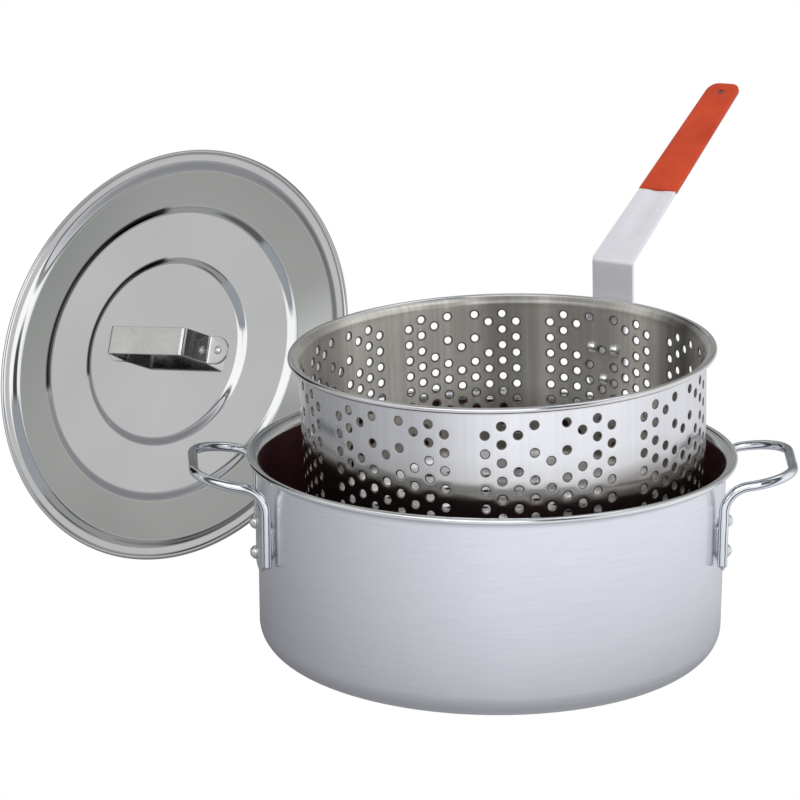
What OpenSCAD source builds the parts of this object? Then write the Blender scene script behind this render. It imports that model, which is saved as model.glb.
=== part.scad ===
// Fry kit: an open pot with two wire handles, a perforated lift-out basket with a long strap
// handle, and a domed-step lid leaning beside the pot. Millimetres. The origin is the centre of
// the pot's underside, Z is up, and the pot's handles are on the two X sides.

/* [Pot] */
// Outside diameter of the pot wall
pot_diameter = 304.8; // [240:0.2:400]
// Height from the table to the top of the pot's rim
pot_height = 129.6; // [90:0.1:220]
// Thickness of the pot wall
pot_wall = 2.0; // [1:0.1:5]
// Thickness of the pot floor
pot_floor = 2.2; // [1:0.1:6]
// Outside radius where the wall meets the floor
pot_corner = 15.5; // [6:0.5:30]
// Outside radius of the flared rim
pot_rim_radius = 159.4; // [150:0.1:190]
// Radius of the bead along the rim
pot_bead = 2.1; // [1.5:0.1:4]
// Radius of the flare under the rim
pot_flare = 7.0; // [3:0.5:12]

/* [Pot handles] */
// Diameter of the handle wire
wire = 6.3; // [3:0.1:8]
// Distance between the two legs of a handle, centre to centre
loop_width = 94.4; // [60:0.2:130]
// Height of the lower ends of the legs
leg_bottom = 68.2; // [40:0.2:90]
// Height where the legs turn outward
leg_top = 118.4; // [95:0.2:120]
// Angle of the grip loop above the horizontal
loop_rise = 10; // [0:0.2:40]
// Distance from the pot axis to the outermost bar
loop_reach = 193.4; // [180:0.1:230]
// Inside corner radius of the wire where a leg turns outward
leg_bend = 18; // [6:0.5:20]
// Corner radius of the outer end of the loop
loop_corner = 29; // [8:0.5:32]
// Direction of the left handle around the pot
left_angle = 189.3; // [170:0.1:195]
// Direction of the right handle around the pot
right_angle = -3.6; // [-15:0.1:15]
// Thickness of the curved mounting plate
plate_thickness = 1.5; // [1:0.1:3]
// Width of the mounting plate
plate_width = 92; // [70:1:120]
// Height of the lower edge of the mounting plate
plate_bottom = 56; // [45:1:65]
// Height of the upper edge of the mounting plate
plate_top = 97; // [88:1:105]
// Height of the upper rivet
rivet_high = 83.8; // [75:0.1:92]
// Height of the lower rivet
rivet_low = 63.3; // [58:0.1:72]
// Diameter of a handle rivet head
rivet_head = 9.2; // [6:0.2:12]
// Height of a handle rivet head
rivet_dome = 4.2; // [2:0.1:4.6]

/* [Basket] */
// Outside radius of the basket wall
basket_radius = 131; // [100:0.5:145]
// Thickness of the basket wall
basket_wall = 1.2; // [0.8:0.1:2]
// Depth of the basket
basket_depth = 121.5; // [80:0.5:125]
// Corner radius of the basket
basket_corner = 13; // [6:0.5:25]
// Outside radius of the basket rim
basket_rim_radius = 137.7; // [133:0.1:149]
// Radius of the bead along the basket rim
basket_bead = 1.9; // [1.2:0.1:3]
// Height of the basket rim above the table at rest
basket_rim_height = 197.4; // [140:0.1:260]
// Sideways offset of the basket at rest
basket_x = 6.05; // [-8:0.05:8]
// Offset of the basket toward the back at rest
basket_y = -1.7; // [-8:0.05:8]
// Angle by which the handle side of the basket is raised at rest
basket_tilt = 3.33; // [0:0.01:5]

/* [Basket holes] */
// Diameter of a drain hole in the wall
hole = 5.8; // [3:0.1:8]
// Number of hole panels around the wall
panels = 8; // [4:1:12]
// Angle of the first panel's middle
panel_start = 12.6; // [0:0.1:45]
// Angle between neighbouring columns of holes
column_step = 4.286; // [3:0.001:5]
// Depth of the first row below the rim
first_row = 13; // [10:0.5:20]
// Height of one row
row_step = 11.4; // [9:0.1:15]
// Diameter of a drain hole in the floor
floor_hole = 5.8; // [3:0.1:8]
// Distance between the rings of holes in the floor
floor_ring = 15.5; // [12:0.5:25]

/* [Basket handle] */
// Direction of the basket handle around the basket
handle_angle = 57.0; // [0:0.1:360]
// Thickness of the handle strap
strap = 2.5; // [1.5:0.1:4]
// Width of the handle strap on the basket
strap_width = 32; // [20:0.5:40]
// Width of the handle strap at its free end
tip_width = 24.5; // [16:0.5:32]
// Distance from the basket axis to the middle of the upright part
strap_offset = 143.8; // [141:0.1:150]
// Height of the handle's bend above the basket rim
strap_bend = 25.9; // [15:0.1:40]
// Angle of the handle arm above the rim plane
arm_rise = 30; // [10:0.5:60]
// Length of the handle arm from the bend to the tip
arm_length = 195; // [120:1:240]
// Where the grip starts along the arm
grip_start = 73.4; // [40:0.2:110]
// Thickness of the grip coating
grip_coat = 0.8; // [0.4:0.1:2]
// Diameter of the hanging hole
hang_hole = 4.4; // [3:0.1:8]
// Depth of the flute pressed into the arm
flute_depth = 0.9; // [0.3:0.1:1.2]
// Width of the flute pressed into the arm
flute_width = 18; // [8:1:22]
// Distance of the upper basket rivets from the middle of the strap
basket_rivet_side = 8.9; // [6:0.1:12]
// Depth of the upper basket rivets below the rim
basket_rivet_upper = 34.2; // [25:0.1:45]
// Depth of the lower basket rivet below the rim
basket_rivet_lower = 56.6; // [45:0.1:65]
// Diameter of a basket rivet head
basket_rivet_head = 9; // [6:0.2:11]

/* [Lid] */
// Outside radius of the lid
lid_radius = 157.65; // [150:0.05:170]
// Thickness of the lid sheet
lid_sheet = 0.9; // [0.5:0.1:2]
// Distance of the lid's middle from the pot axis, sideways
lid_x = -243.6; // [-400:0.1:-200]
// Distance of the lid's middle behind the pot axis
lid_y = 205.8; // [100:0.1:400]
// Height of the lid's middle
lid_z = 143.74; // [100:0.1:200]
// Angle by which the lid leans back from upright
lid_lean = 24.4; // [5:0.1:60]
// Angle by which the lid is turned away from straight ahead
lid_turn = 29.6; // [0:0.1:60]
// Depth of the groove that drops inside the pot
lid_drop = 4.9; // [2:0.1:14]
// Depth of the lid's outer slope at its upper end
lid_shelf = 1.95; // [0:0.05:6]
// Height of the outer raised step
lid_step_outer = 2.5; // [1:0.1:8]
// Height of the inner raised step
lid_step_inner = 3.4; // [1:0.1:8]

/* [Lid handle] */
// Width of the lid handle strap
lid_strap_width = 20.8; // [15:0.1:30]
// Thickness of the lid handle strap
lid_strap = 1.4; // [0.8:0.1:3]
// Height of the handle bar's middle above the lid's edge plane
lid_bar_height = 31.85; // [20:0.05:45]
// Half of the handle bar's length
lid_bar_half = 33.5; // [25:0.5:45]
// Distance from the middle of the lid to each end of the handle
lid_foot_end = 55; // [45:0.5:65]
// Distance from the middle of the lid to each rivet
lid_rivet_side = 47; // [42:0.5:60]
// Turn of the handle in the plane of the lid
lid_handle_turn = 5.7; // [0:0.1:90]
// Shift of the handle from the middle of the lid, along the lid
lid_handle_x = 3.72; // [-10:0.01:10]
// Shift of the handle from the middle of the lid, up the lid
lid_handle_y = 0.94; // [-10:0.01:10]

/* [Hidden] */
$fn = 48;
pot_outer = pot_diameter / 2;
pot_inner = pot_outer - pot_wall;
leg_radius = pot_outer + plate_thickness + wire / 2 - 0.1;
leg_out = sqrt(pow(leg_radius, 2) - pow(loop_width / 2, 2));
leg_turn = 90 - loop_rise;
leg_tangent = leg_bend * tan(leg_turn / 2);
bar_end = (loop_reach - leg_out) / cos(loop_rise);
plate_outer = pot_outer + plate_thickness;
shank = 5;
clear = 0.1;
basket_inner = basket_radius - basket_wall;
rim_z = basket_depth;
wall_face = basket_radius + 0.05;
flute_radius = (pow(flute_width / 2, 2) + pow(flute_depth, 2)) / (2 * flute_depth);
flute_axis = strap / 2 + flute_radius - flute_depth;
disc_height = lid_step_outer + lid_step_inner - lid_shelf;
foot_top = disc_height + lid_sheet / 2 + 0.05 + lid_strap;

// ---- shared shapes ----

// Half the section of a pan, as one outline: a flat floor, a rounded corner, a straight wall, and
// a flare that ends in a bead. ro is the wall's outside radius, t its thickness.
function arc_points(c, r, a0, a1, n) =
    [for (i = [0:n]) let (a = a0 + (a1 - a0) * i / n) c + r * [cos(a), sin(a)]];
function meeting(c0, r0, c1, r1) =
    let (d = norm(c1 - c0), u = (c1 - c0) / d, a = (r0 * r0 - r1 * r1 + d * d) / (2 * d))
    c0 + u * a + [-u[1], u[0]] * sqrt(r0 * r0 - a * a);
function heading(v) = let (a = atan2(v[1], v[0])) a < 0 ? a + 360 : a;
module pan_profile(ro, t, floor_t, corner, flare, bead, outer, top) {
    turn = [ro - corner, corner];
    bend = [ro - t + flare, top - bead - flare + t / 2];
    ball = [outer - bead, top - bead];
    low = meeting(bend, flare - t, ball, bead);
    high = meeting(bend, flare, ball, bead);
    from = heading(low - ball);
    upto = heading(high - ball) + 360;
    foot = asin((corner - floor_t) / (corner - t));
    polygon(concat(
        [[0, 0]],
        arc_points(turn, corner, -90, 0, 9),
        arc_points(bend, flare - t, 180, heading(low - bend), 7),
        [for (a = [180:18:540]) if (a > from + 7 && a < upto - 7)
            ball + bead * [cos(a), sin(a)]],
        arc_points(bend, flare, heading(high - bend), 180, 9),
        arc_points(turn, corner - t, 0, -foot, 9),
        [[0, floor_t]]));
}

// A domed rivet along +X: the dome's flat side at x, a shank reaching back to x0, a flat tail
// head of thickness tail behind x0.
module rivet(x, dome_d, dome_h, x0, tail_d, tail) {
    ball = (pow(dome_d / 2, 2) + pow(dome_h, 2)) / (2 * dome_h);
    rotate([0, 90, 0]) {
        intersection() {
            translate([0, 0, x + dome_h - ball]) sphere(ball);
            translate([-dome_d, -dome_d, x]) cube([2 * dome_d, 2 * dome_d, 2 * dome_h]);
        }
        translate([0, 0, x0 - 0.2]) cylinder(h = x - x0 + 1, d = shank);
        translate([0, 0, x0 - tail]) cylinder(h = tail, d = tail_d);
    }
}

// Points of a strip of thickness t that follows the path p, with every corner rounded to r.
function unit(v) = v / norm(v);
function left(v) = [-v[1], v[0]];
function turned(v, a) = [v[0] * cos(a) - v[1] * sin(a), v[0] * sin(a) + v[1] * cos(a)];
function corner_points(a, b, c, r, side, n) =
    let (u = unit(b - a), w = unit(c - b), s = u[0] * w[1] - u[1] * w[0] > 0 ? 1 : -1,
        ang = acos(u * w), mid = b - u * r * tan(ang / 2) + left(u) * r * s)
    [for (i = [0:n]) mid + turned(-left(u) * s, s * ang * i / n) * (r - side * s)];
function strip_side(p, r, side, n) = let (m = len(p) - 1) concat(
    [p[0] + left(unit(p[1] - p[0])) * side],
    [for (i = [1:m - 1]) each corner_points(p[i - 1], p[i], p[i + 1], r, side, n)],
    [p[m] + left(unit(p[m] - p[m - 1])) * side]);
function flipped(v) = [for (i = [len(v) - 1:-1:0]) v[i]];
module strip(p, r, t, n) {
    polygon(concat(strip_side(p, r, t / 2, n), flipped(strip_side(p, r, -t / 2, n))));
}

// ---- pot ----

module on_pot(angle) { rotate([0, 0, angle]) children(); }
module at_rivets(angle) {
    for (z = [rivet_low, rivet_high]) on_pot(angle) translate([0, 0, z]) children();
}

module pot_body() {
    color("#c4c7c9") difference() {
        rotate_extrude($fn = 180)
            pan_profile(pot_outer, pot_wall, pot_floor, pot_corner, pot_flare, pot_bead,
                pot_rim_radius, pot_height);
        for (a = [left_angle, right_angle]) at_rivets(a)
            rotate([0, 90, 0]) translate([0, 0, pot_inner - 6]) cylinder(h = 14, d = shank + clear);
    }
}

// A plate bent to the pot wall, narrower at its foot, its corners rounded.
module handle_plate(angle) {
    w = plate_width / 2;
    h = plate_top - plate_bottom;
    foot = 20;
    corners = [[-foot, 0], [foot, 0], [w, 18], [w, h], [-w, h], [-w, 18]];
    on_pot(angle) difference() {
        intersection() {
            difference() {
                translate([0, 0, plate_bottom - 1]) cylinder(h = h + 2, r = plate_outer, $fn = 180);
                translate([0, 0, plate_bottom - 2]) cylinder(h = h + 4, r = pot_outer + 0.05, $fn = 180);
            }
            translate([100, 0, plate_bottom]) rotate([90, 0, 90]) linear_extrude(height = 100)
                polygon([for (i = [0:5]) each corner_points(
                    corners[(i + 5) % 6], corners[i], corners[(i + 1) % 6], 8, 0, 5)]);
        }
        for (z = [rivet_low, rivet_high]) translate([pot_inner, 0, z]) rotate([0, 90, 0])
            cylinder(h = 10, d = shank + clear);
    }
}

// One bend of the wire: a part ring of radius r through the angle a, a hair thicker than the
// straight runs, whose ends sit inside it.
module wire_bend(r, a) {
    rotate_extrude(angle = a, $fn = 96) translate([r, 0]) circle(d = wire + 0.04, $fn = 32);
}
// A straight run of wire along +Z, from z0 to z1, reaching into the bends at both ends.
module wire_run(z0, z1) {
    translate([0, 0, z0]) cylinder(h = z1 - z0, d = wire);
}

// Wire loop: two upright legs, two rising bars and a cross bar, all one bent wire.
module handle_loop(angle) {
    y = loop_width / 2;
    in = 0.3;
    on_pot(angle) {
        for (s = [-1, 1]) {
            translate([leg_out, s * y, 0]) wire_run(leg_bottom + 1, leg_top - leg_tangent + in);
            translate([leg_out, s * y, leg_bottom]) cylinder(h = 1, d1 = wire - 2, d2 = wire);
            translate([leg_out + leg_bend, s * y, leg_top - leg_tangent]) rotate([90, 0, 0])
                rotate([0, 0, 180 - leg_turn]) wire_bend(leg_bend, leg_turn);
        }
        translate([leg_out, 0, leg_top]) rotate([0, -loop_rise, 0]) {
            for (s = [-1, 1]) {
                translate([0, s * y, 0]) rotate([0, 90, 0])
                    wire_run(leg_tangent - in, bar_end - loop_corner + in);
                translate([bar_end - loop_corner, s * (y - loop_corner), 0])
                    rotate([0, 0, s > 0 ? 0 : -90]) wire_bend(loop_corner, 90);
            }
            translate([bar_end, 0, 0]) rotate([-90, 0, 0])
                wire_run(loop_corner - y - in, y - loop_corner + in);
        }
    }
}

module handle_rivets(angle) {
    at_rivets(angle)
        rivet(plate_outer + 0.02, rivet_head, rivet_dome, pot_inner - 0.1, 8.6, 1.2);
}

module left_handle_plate() { color("#b9bdc0") handle_plate(left_angle); }
module right_handle_plate() { color("#b9bdc0") handle_plate(right_angle); }
module left_handle_loop() { color("#dfe3e6") handle_loop(left_angle); }
module right_handle_loop() { color("#dfe3e6") handle_loop(right_angle); }
module left_handle_rivets() { color("#e3e5e6") handle_rivets(left_angle); }
module right_handle_rivets() { color("#e3e5e6") handle_rivets(right_angle); }

// ---- basket ----

// The basket's own frame: its underside at z = 0, its handle toward +X, raised and tilted.
module on_basket() {
    translate([basket_x, basket_y, basket_rim_height]) rotate([0, 0, handle_angle])
        rotate([0, -basket_tilt, 0]) translate([0, 0, -basket_depth]) children();
}

// The holes of one column, counted in rows below the first: a motif above a full lattice.
function lattice(c) = [for (k = [0:8]) let (r = (c % 2 == 0 ? 0.5 : 0) + k) if (r <= 8) r];
function kept(c, r) = r > 2.75 || c == 0 || c == 8 || c == 1 || c == 7
    || ((c == 2 || c == 6) && r != 1.5) || ((c == 3 || c == 5) && r == 0);
function extra(c) = c == 3 || c == 5 ? [1.5] : c == 4 ? [2] : [];
function column(c) = concat([for (r = lattice(c)) if (kept(c, r)) r], extra(c));
// True where a rivet leaves no room for a hole: a is the angle from the handle, d the depth.
function near_rivet(a, d) = let (x = basket_radius * a * PI / 180) min(
    norm([x - basket_rivet_side, d - basket_rivet_upper]),
    norm([x + basket_rivet_side, d - basket_rivet_upper]),
    norm([x, d - basket_rivet_lower])) < 7.6;

module wall_holes() {
    for (p = [0:panels - 1]) for (c = [0:8]) {
        a = panel_start + p * 360 / panels + (c - 4) * column_step - handle_angle;
        for (r = column(c)) {
            d = first_row + r * row_step;
            if (!near_rivet(a, d)) rotate([0, 0, a]) translate([basket_inner - 4, 0, rim_z - d])
                rotate([0, 90, 0]) cylinder(h = 9, d = hole, $fn = 24);
        }
    }
}

module floor_holes() {
    translate([0, 0, -2]) cylinder(h = 6, d = floor_hole, $fn = 24);
    for (k = [1:7]) for (i = [0:6 * k - 1])
        rotate([0, 0, i * 60 / k + (k % 2) * 15 / k]) translate([k * floor_ring, 0, -2])
            cylinder(h = 6, d = floor_hole, $fn = 24);
}

module at_basket_rivets(upper) {
    for (s = upper ? [-1, 1] : [0])
        translate([0, s * basket_rivet_side,
            rim_z - (upper ? basket_rivet_upper : basket_rivet_lower)]) children();
}

module basket_shell() {
    color("#cfd1d2") on_basket() difference() {
        rotate_extrude($fn = 180)
            pan_profile(basket_radius, basket_wall, basket_wall, basket_corner, 5, basket_bead,
                basket_rim_radius, basket_depth);
        wall_holes();
        floor_holes();
        for (u = [true, false]) at_basket_rivets(u) translate([basket_inner - 5, 0, 0])
            rotate([0, 90, 0]) cylinder(h = 12, d = shank + clear);
    }
}

// The arm's frame: origin at the bend, x along the arm, z square to it.
module on_arm() {
    translate([strap_offset, 0, rim_z + strap_bend]) rotate([0, -arm_rise, 0]) children();
}

// Outline of the strap seen square to the arm, grown by g, from x0 to the rounded tip.
module arm_outline(x0, g) {
    e = arm_length + g;
    w0 = strap_width / 2 + g;
    w1 = tip_width / 2 + g;
    c = 9 + g;
    x1 = e - c;
    function half(x) = x < 0 ? w0 : w0 + (w1 - w0) * x / arm_length;
    if (x0 < 0) translate([x0, -w0]) square([0.01 - x0, 2 * w0]);
    s = max(x0, 0);
    polygon([[s, -half(s)], [x1, -half(x1)], [x1, half(x1)], [s, half(s)]]);
    translate([x1 - 0.01, -half(x1) + c]) square([c + 0.01, 2 * half(x1) - 2 * c]);
    for (i = [-1, 1]) translate([x1, i * (half(x1) - c)]) circle(c);
}

module flute(grow, shallower) {
    r = flute_radius + grow;
    translate([16, 0, flute_axis + shallower]) rotate([0, 90, 0]) cylinder(h = 160, r = r, $fn = 120);
}

module handle_strap_solid() {
    path = [[wall_face + strap / 2, -72], [wall_face + strap / 2, -18],
        [strap_offset, -5], [strap_offset, strap_bend],
        [strap_offset + (arm_length + 5) * cos(arm_rise),
            strap_bend + (arm_length + 5) * sin(arm_rise)]];
    difference() {
        intersection() {
            translate([0, 30, rim_z]) rotate([90, 0, 0]) linear_extrude(height = 60)
                strip(path, 4.5, strap, 6);
            on_arm() translate([0, 0, -150]) linear_extrude(height = 250) arm_outline(-90, 0);
        }
        for (s = [-1, 1]) translate([110, s * 16, rim_z - 72]) rotate([0, 90, 0])
            linear_extrude(height = 40) polygon([[1, s * 1], [1, -s * 8], [-26, s * 1]]);
        on_arm() flute(0, 0);
        on_arm() translate([arm_length - 11, 0, -10]) cylinder(h = 20, d = hang_hole);
        for (u = [true, false]) at_basket_rivets(u) translate([basket_inner, 0, 0])
            rotate([0, 90, 0]) cylinder(h = 12, d = shank + clear);
    }
}

module basket_handle_strap() {
    color("#d6d3d8") on_basket() handle_strap_solid();
}

module basket_handle_grip() {
    color("#c84b28") on_basket() difference() {
        on_arm() translate([0, 0, -strap / 2 - grip_coat])
            linear_extrude(height = strap + 2 * grip_coat) arm_outline(grip_start, grip_coat * 0.8);
        on_arm() flute(0, grip_coat + 0.2);
        on_arm() translate([arm_length - 11, 0, -10]) cylinder(h = 20, d = hang_hole);
        on_arm() difference() {
            translate([0, 0, -strap / 2]) linear_extrude(height = strap) arm_outline(grip_start - 2, 0);
            flute(0, 0);
        }
    }
}

module basket_rivets(upper) {
    on_basket() at_basket_rivets(upper) {
        translate([basket_inner, 0, 0]) mirror([1, 0, 0])
            rivet(upper ? 0.8 : 0.15, basket_rivet_head, 3.4, -basket_wall - strap - 0.12, 7.4, 1.3);
    }
}
module basket_upper_rivets() { color("#e6e7e8") basket_rivets(true); }
module basket_lower_rivet() { color("#e6e7e8") basket_rivets(false); }

// ---- lid ----

// The lid's own frame: its outside faces +Z and its edge lies in the plane z = 0.
module on_lid() {
    translate([lid_x, lid_y, lid_z]) rotate([90 - lid_lean, 0, -lid_turn]) children();
}
module at_lid_handle() {
    translate([lid_handle_x, lid_handle_y, 0]) rotate([0, 0, lid_handle_turn]) children();
}
module on_lid_handle() { on_lid() at_lid_handle() children(); }

// A smooth step of the sheet from radius a at height za to radius b at height zb.
function ease(a, za, b, zb, n) =
    [for (i = [0:n]) [a + (b - a) * i / n, za + (zb - za) * (1 - cos(180 * i / n)) / 2]];

// The points of a line, moved sideways by d square to the line.
function beside(line, d) = [for (i = [0:len(line) - 1]) let (
    a = line[max(i - 1, 0)],
    b = line[min(i + 1, len(line) - 1)],
    v = (b - a) / norm(b - a)) [max(line[i][0] - v[1] * d, 0), line[i][1] + v[0] * d]];

module lid_shell() {
    mid = lid_step_outer - lid_shelf;
    line = concat([[0, disc_height]], ease(66, disc_height, 73, mid, 10),
        ease(106.5, mid, 114.5, -lid_shelf, 10), ease(142, -lid_drop, 150, 0, 12));
    half = lid_sheet / 2;
    bead = 1.6;
    start = 180 - asin(half / bead);
    edge = [for (i = [0:18]) let (a = start - 2 * start * i / 18)
        [lid_radius - bead + bead * cos(a), bead * sin(a)]];
    color("#b8b9b5") on_lid() difference() {
        rotate_extrude($fn = 180)
            polygon(concat(beside(line, half), edge, flipped(beside(line, -half))));
        at_lid_handle() for (s = [-1, 1])
            translate([s * lid_rivet_side, 0, -5]) cylinder(h = 16, d = 3.6 + clear);
    }
}

module lid_handle_strap() {
    f = foot_top - lid_strap / 2;
    b = lid_bar_height;
    path = [[-lid_foot_end - 2, f], [-lid_bar_half - 4.5, f], [-lid_bar_half, b],
        [lid_bar_half, b], [lid_bar_half + 4.5, f], [lid_foot_end + 2, f]];
    w = lid_strap_width / 2;
    color("#c9cac6") on_lid_handle() difference() {
        intersection() {
            translate([0, w, 0]) rotate([90, 0, 0]) linear_extrude(height = 2 * w)
                strip(path, 3, lid_strap, 6);
            linear_extrude(height = 40) {
                translate([-lid_foot_end + w, -w]) square([2 * lid_foot_end - 2 * w, 2 * w]);
                for (s = [-1, 1]) translate([s * (lid_foot_end - w), 0]) circle(w);
            }
        }
        for (s = [-1, 1]) translate([s * lid_rivet_side, 0, -5]) cylinder(h = 16, d = 3.6 + clear);
    }
}

module lid_handle_rivets() {
    color("#e0e1de") on_lid_handle() for (s = [-1, 1]) translate([s * lid_rivet_side, 0, 0]) {
        top = foot_top + 0.02;
        ball = (pow(3.2, 2) + pow(1.9, 2)) / (2 * 1.9);
        intersection() {
            translate([0, 0, top + 1.9 - ball]) sphere(ball);
            translate([-5, -5, top]) cube([10, 10, 4]);
        }
        under = disc_height - lid_sheet / 2 - 0.05;
        translate([0, 0, under]) cylinder(h = top - under + 0.01, d = 3.6);
        translate([0, 0, under - 1]) cylinder(h = 1, d = 6);
    }
}

pot_body();
left_handle_plate();
left_handle_loop();
left_handle_rivets();
right_handle_plate();
right_handle_loop();
right_handle_rivets();
basket_shell();
basket_handle_strap();
basket_handle_grip();
basket_upper_rivets();
basket_lower_rivet();
lid_shell();
lid_handle_strap();
lid_handle_rivets();
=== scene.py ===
import math

import bpy
import numpy as np
from mathutils import Matrix, Vector
from mathutils.geometry import delaunay_2d_cdt


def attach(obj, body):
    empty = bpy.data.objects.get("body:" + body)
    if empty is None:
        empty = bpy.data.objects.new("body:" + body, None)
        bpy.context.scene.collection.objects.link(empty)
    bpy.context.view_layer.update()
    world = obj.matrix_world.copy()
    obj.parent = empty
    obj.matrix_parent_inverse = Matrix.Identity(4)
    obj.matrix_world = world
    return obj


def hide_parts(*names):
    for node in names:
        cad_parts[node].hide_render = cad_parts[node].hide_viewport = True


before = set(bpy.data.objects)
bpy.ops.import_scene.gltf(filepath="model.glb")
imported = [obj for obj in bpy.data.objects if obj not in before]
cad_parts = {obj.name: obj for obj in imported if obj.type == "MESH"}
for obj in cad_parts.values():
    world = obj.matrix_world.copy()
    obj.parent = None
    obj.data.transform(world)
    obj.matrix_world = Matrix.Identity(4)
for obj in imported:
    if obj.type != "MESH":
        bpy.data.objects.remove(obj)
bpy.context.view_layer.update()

MM = 0.001


# ---------------------------------------------------------------- frames
def rot(axis, deg):
    return Matrix.Rotation(math.radians(deg), 4, axis)


def move(x, y, z):
    return Matrix.Translation((x * MM, y * MM, z * MM))


DEPTH = 121.5  # of the basket
HANDLE = 57.0  # where the basket's handle points, in degrees
BEND_X, BEND_RISE, ARM_RISE = 143.8, 25.9, 30  # the strap's bend, over the basket's rim
POT = Matrix.Identity(4)
LEFT = rot("Z", 189.3)
RIGHT = rot("Z", -3.6)
BASKET = move(6.05, -1.7, 197.4) @ rot("Z", HANDLE) @ rot("Y", -3.33) @ move(0, 0, -DEPTH)
ARM = BASKET @ move(BEND_X, 0, DEPTH + BEND_RISE) @ rot("Y", -ARM_RISE)
LID = move(-243.6, 205.8, 143.74) @ rot("Z", -29.6) @ rot("X", 90 - 24.4)
LID_HANDLE = LID @ move(3.72, 0.94, 0) @ rot("Z", 5.7)


# ---------------------------------------------------------------- mesh helpers
def placed(verts, m):
    """Points in mm moved by a matrix whose shift is in metres."""
    a = np.array(m)
    v = np.asarray(verts, float)
    return v @ a[:3, :3].T + a[:3, 3] / MM


def keep_own(me, at):
    """Stores each point as it is in the piece's own frame, which the materials read."""
    co = np.empty(len(me.vertices) * 3, np.float32)
    me.vertices.foreach_get("co", co)
    own = placed(co.reshape(-1, 3) / MM, at.inverted()) * MM
    layer = me.attributes.get("own") or me.attributes.new("own", "FLOAT_VECTOR", "POINT")
    layer.data.foreach_set("vector", own.astype(np.float32).ravel())


def piece(name, verts, faces, at, body, nodes, mats, index=None):
    """A smooth mesh from points in mm, moved by the matrix at, riding on a body."""
    me = bpy.data.meshes.new(name)
    me.from_pydata([tuple(p) for p in placed(verts, at) * MM], [], faces)
    me.update()
    keep_own(me, at)
    for m in mats:
        me.materials.append(m)
    if index is not None:
        me.polygons.foreach_set("material_index", np.asarray(index, np.int32))
    me.polygons.foreach_set("use_smooth", np.ones(len(me.polygons), bool))
    ob = bpy.data.objects.new(name, me)
    bpy.context.scene.collection.objects.link(ob)
    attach(ob, body)
    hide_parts(*nodes)
    return ob


def arc(cx, cz, r, a0, a1, n):
    return [
        (cx + r * math.cos(math.radians(a0 + (a1 - a0) * i / n)),
         cz + r * math.sin(math.radians(a0 + (a1 - a0) * i / n)))
        for i in range(n + 1)
    ]


def supported(points, gap=0.6, far=5.0):
    """Adds points near both ends of long runs, so smooth shading stays flat along them."""
    out = [points[0]]
    for a, b in zip(points, points[1:]):
        d = math.dist(a, b)
        if d > far:
            for t in (gap / d, 1 - gap / d):
                out.append(tuple(a[k] + (b[k] - a[k]) * t for k in range(len(a))))
        out.append(b)
    return out


def lathe(profile, n):
    """Points and faces of a profile of (radius, height) turned round Z. Radius 0 is a pole."""
    verts, rows, faces = [], [], []
    ang = np.linspace(0, 2 * math.pi, n, endpoint=False)
    for r, z in profile:
        if r < 1e-6:
            rows.append([len(verts)])
            verts.append((0, 0, z))
        else:
            rows.append(list(range(len(verts), len(verts) + n)))
            verts += [(r * math.cos(a), r * math.sin(a), z) for a in ang]
    part = []
    for k, (a, b) in enumerate(zip(rows, rows[1:])):
        for i in range(n):
            j = (i + 1) % n
            if len(a) == 1:
                faces.append((a[0], b[j], b[i]))
            elif len(b) == 1:
                faces.append((a[i], a[j], b[0]))
            else:
                faces.append((a[i], a[j], b[j], b[i]))
            part.append(k)
    return verts, faces, part


def joined(parts):
    """Several (verts, faces) as one."""
    verts, faces = [], []
    for v, f in parts:
        base = len(verts)
        verts += [tuple(p) for p in v]
        faces += [tuple(i + base for i in g) for g in f]
    return verts, faces


def tube(path, radius, n=28, bevel=1.0):
    """A round wire along 3-D points, with both ends closed and slightly dished."""
    p = [Vector(q) for q in path]
    t = [(p[min(i + 1, len(p) - 1)] - p[max(i - 1, 0)]).normalized() for i in range(len(p))]
    side = t[0].orthogonal().normalized()
    rings = []
    for i, q in enumerate(p):
        if i:
            side = (t[i - 1].rotation_difference(t[i]) @ side).normalized()
        up = t[i].cross(side)
        rings.append((q, side.copy(), up, t[i]))

    def ring(q, s, u, r):
        return [q + (s * math.cos(2 * math.pi * k / n) + u * math.sin(2 * math.pi * k / n)) * r
                for k in range(n)]

    insets = [bevel * (1 - math.sin(math.radians(a))) for a in (10, 30, 50, 70)]
    q, s, u, d = rings[0]
    loops = [ring(q + d * w, s, u, radius - w) for w in insets]
    for i, (q, s, u, d) in enumerate(rings):
        if i == 0:
            q = q + d * bevel
        if i == len(rings) - 1:
            q = q - d * bevel
        loops.append(ring(q, s, u, radius))
    q, s, u, d = rings[-1]
    loops += [ring(q - d * w, s, u, radius - w) for w in insets[::-1]]
    faces = []
    for k in range(len(loops) - 1):
        for i in range(n):
            j = (i + 1) % n
            faces.append((k * n + i, k * n + j, (k + 1) * n + j, (k + 1) * n + i))
    faces.append(tuple(range(n))[::-1])
    faces.append(tuple(range((len(loops) - 1) * n, len(loops) * n)))
    return [tuple(v) for lp in loops for v in lp], faces


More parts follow.
